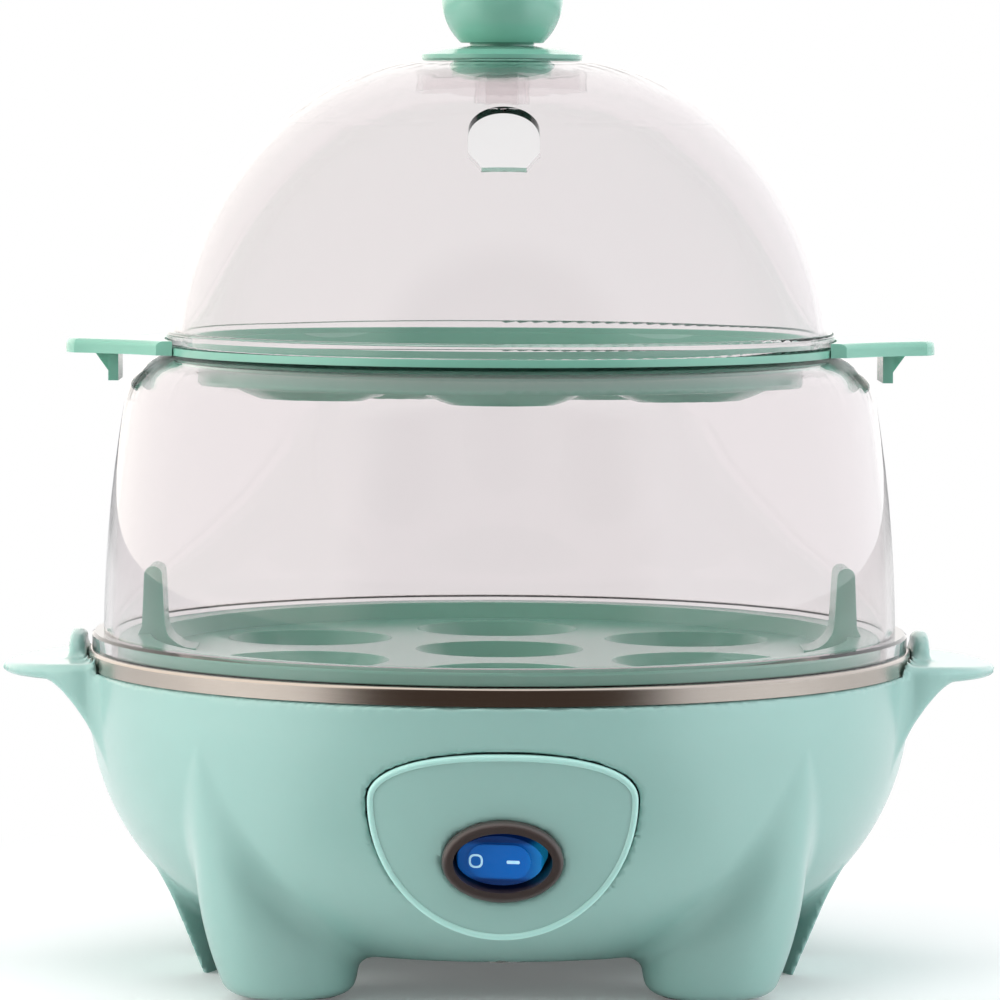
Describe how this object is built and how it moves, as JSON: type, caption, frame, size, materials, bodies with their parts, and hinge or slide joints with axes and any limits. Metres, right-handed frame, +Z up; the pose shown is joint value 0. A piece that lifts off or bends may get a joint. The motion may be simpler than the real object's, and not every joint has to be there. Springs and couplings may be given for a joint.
{
  "type": "egg cooker",
  "caption": "Two-tier electric steam egg cooker with clear covers, egg trays, a heating dish, side handles and a rocker switch.",
  "frame": {"origin": "on the table under the middle of the cooker", "axes": "+Z up, the switch panel faces -Y, the carrying handles point along +X and -X"},
  "size_m": [0.2186, 0.1813, 0.2263],
  "materials": {
    "housing_plastic": "satin moulded aqua",
    "tray_plastic": "satin moulded mint",
    "plate_steel": "brushed stainless",
    "spreader_aluminium": "cast",
    "element_sheath": "drawn tube",
    "control_metal": "pressed",
    "bracket_steel": "plated",
    "screw_steel": "plated",
    "terminal_brass": "stamped",
    "lamp_glass": "clear",
    "pad_rubber": "matt",
    "gland_rubber": "matt",
    "switch_black": "satin",
    "rocker_blue": "translucent",
    "wire_brown": "sleeved",
    "wire_blue": "sleeved",
    "clear_plastic": "polished clear"
  },
  "bodies": {
    "base": {"base_housing": "housing_plastic", "heating_plate": "plate_steel", "element_spreader": "spreader_aluminium", "heating_element": "element_sheath", "thermostat": "control_metal", "thermostat_bracket": "bracket_steel", "bracket_screws": "screw_steel", "thermal_fuse": "control_metal", "fuse_clip": "bracket_steel", "plate_studs": "screw_steel", "plate_screws": "screw_steel", "bottom_cover": "housing_plastic", "cover_screws": "screw_steel", "foot_pads": "pad_rubber", "switch_panel": "housing_plastic", "switch_frame": "switch_black", "switch_terminals": "terminal_brass", "switch_lamp": "lamp_glass", "cord_gland": "gland_rubber", "live_wire": "wire_brown", "switched_wire": "wire_brown", "fuse_wire": "wire_brown", "element_wire": "wire_brown", "neutral_wire": "wire_blue"},
    "switch_rocker": {"switch_rocker": "rocker_blue"},
    "lower_tray": {"lower_tray": "tray_plastic"},
    "lower_cover": {"lower_cover": "clear_plastic"},
    "upper_tray": {"upper_tray": "tray_plastic"},
    "dome_lid": {"dome_lid": "clear_plastic", "lid_knob": "tray_plastic", "knob_screw": "screw_steel", "knob_washer": "tray_plastic"}
  },
  "joints": [
    {"name": "rocker_tilt", "type": "hinge", "parent": "base", "child": "switch_rocker", "pos_m": [0, -0.08359, 0.03562], "axis": [0, -0.1045, 0.9945], "range_deg": [0, 16]},
    {"name": "lower_tray_lift", "type": "slide", "parent": "base", "child": "lower_tray", "axis": [0, 0, 1], "range_m": [0, 0.03]},
    {"name": "lower_cover_lift", "type": "slide", "parent": "lower_tray", "child": "lower_cover", "axis": [0, 0, 1], "range_m": [0, 0.08]},
    {"name": "upper_tray_lift", "type": "slide", "parent": "lower_cover", "child": "upper_tray", "axis": [0, 0, 1], "range_m": [0, 0.02]},
    {"name": "dome_lift", "type": "slide", "parent": "upper_tray", "child": "dome_lid", "axis": [0, 0, 1], "range_m": [0, 0.07]}
  ]
}
